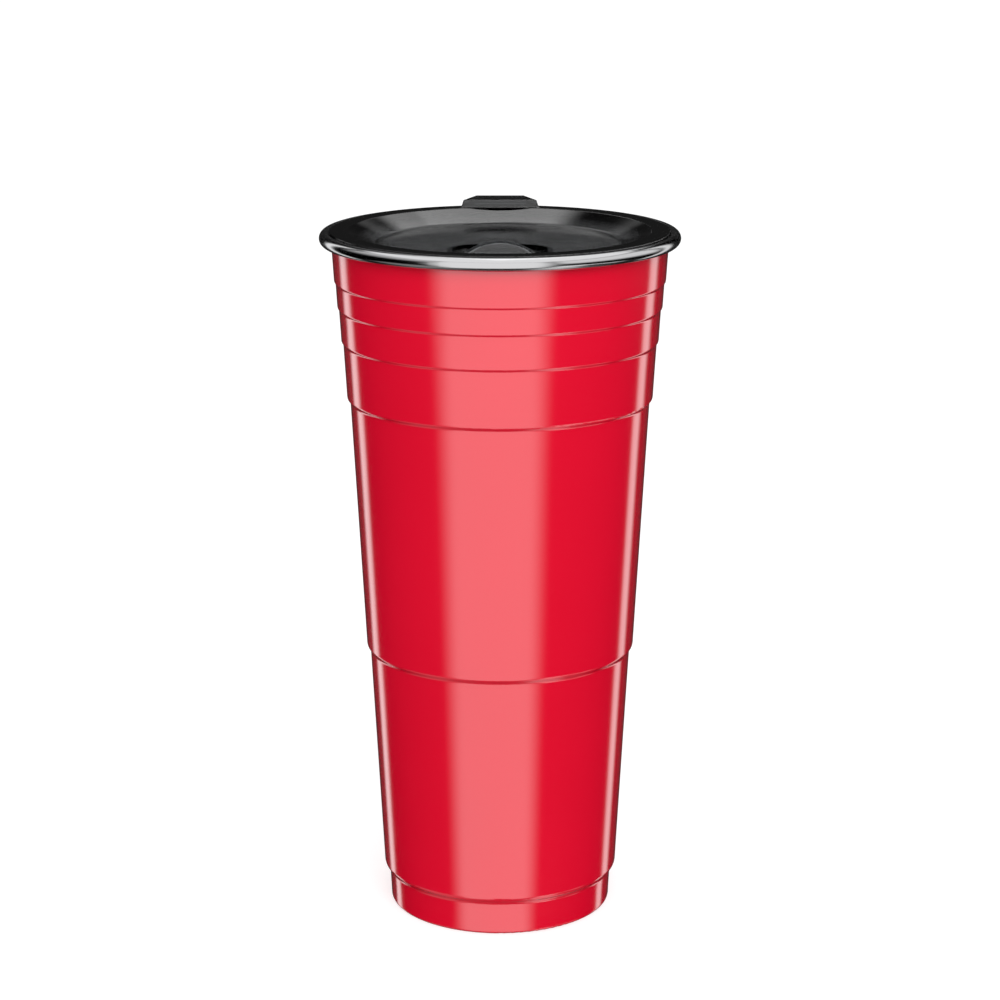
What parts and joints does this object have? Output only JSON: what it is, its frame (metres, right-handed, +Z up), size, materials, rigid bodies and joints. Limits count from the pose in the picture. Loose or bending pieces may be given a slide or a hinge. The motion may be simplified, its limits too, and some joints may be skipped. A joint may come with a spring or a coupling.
{
  "type": "lidded steel tumbler",
  "caption": "Tall double-walled steel tumbler in party-cup form, with stepped body, rolled lip, press-in lid and a sliding drink closure.",
  "frame": {"origin": "centre of the foot ring on the surface that the cup stands on", "axes": "+Z up along the cup's axis, -Y towards the drink hole, +Y towards the lid's lifting tab"},
  "size_m": [0.108, 0.1105, 0.2138],
  "materials": {
    "red_coating": "gloss",
    "polished_steel": "polished",
    "base_steel": "satin",
    "bare_steel": "mill",
    "seal_glass": "glazed",
    "getter_alloy": "sintered",
    "smoke_plastic": "gloss",
    "gasket_silicone": "satin",
    "closure_plastic": "gloss"
  },
  "bodies": {
    "cup": {"outer_shell": "red_coating", "inner_liner": "polished_steel", "base_cap": "base_steel", "vessel_bottom": "bare_steel", "seal_bead": "seal_glass", "getter_pill": "getter_alloy"},
    "lid_assembly": {"lid": "smoke_plastic", "lid_gasket": "gasket_silicone"},
    "closure": {"slider": "closure_plastic"}
  },
  "joints": [
    {"name": "lid_lift", "type": "slide", "parent": "cup", "child": "lid_assembly", "axis": [0, 0, 1], "range_m": [0, 0.03]},
    {"name": "closure_slide", "type": "slide", "parent": "lid_assembly", "child": "closure", "axis": [0, 1, 0], "range_m": [0, 0.0084]}
  ]
}
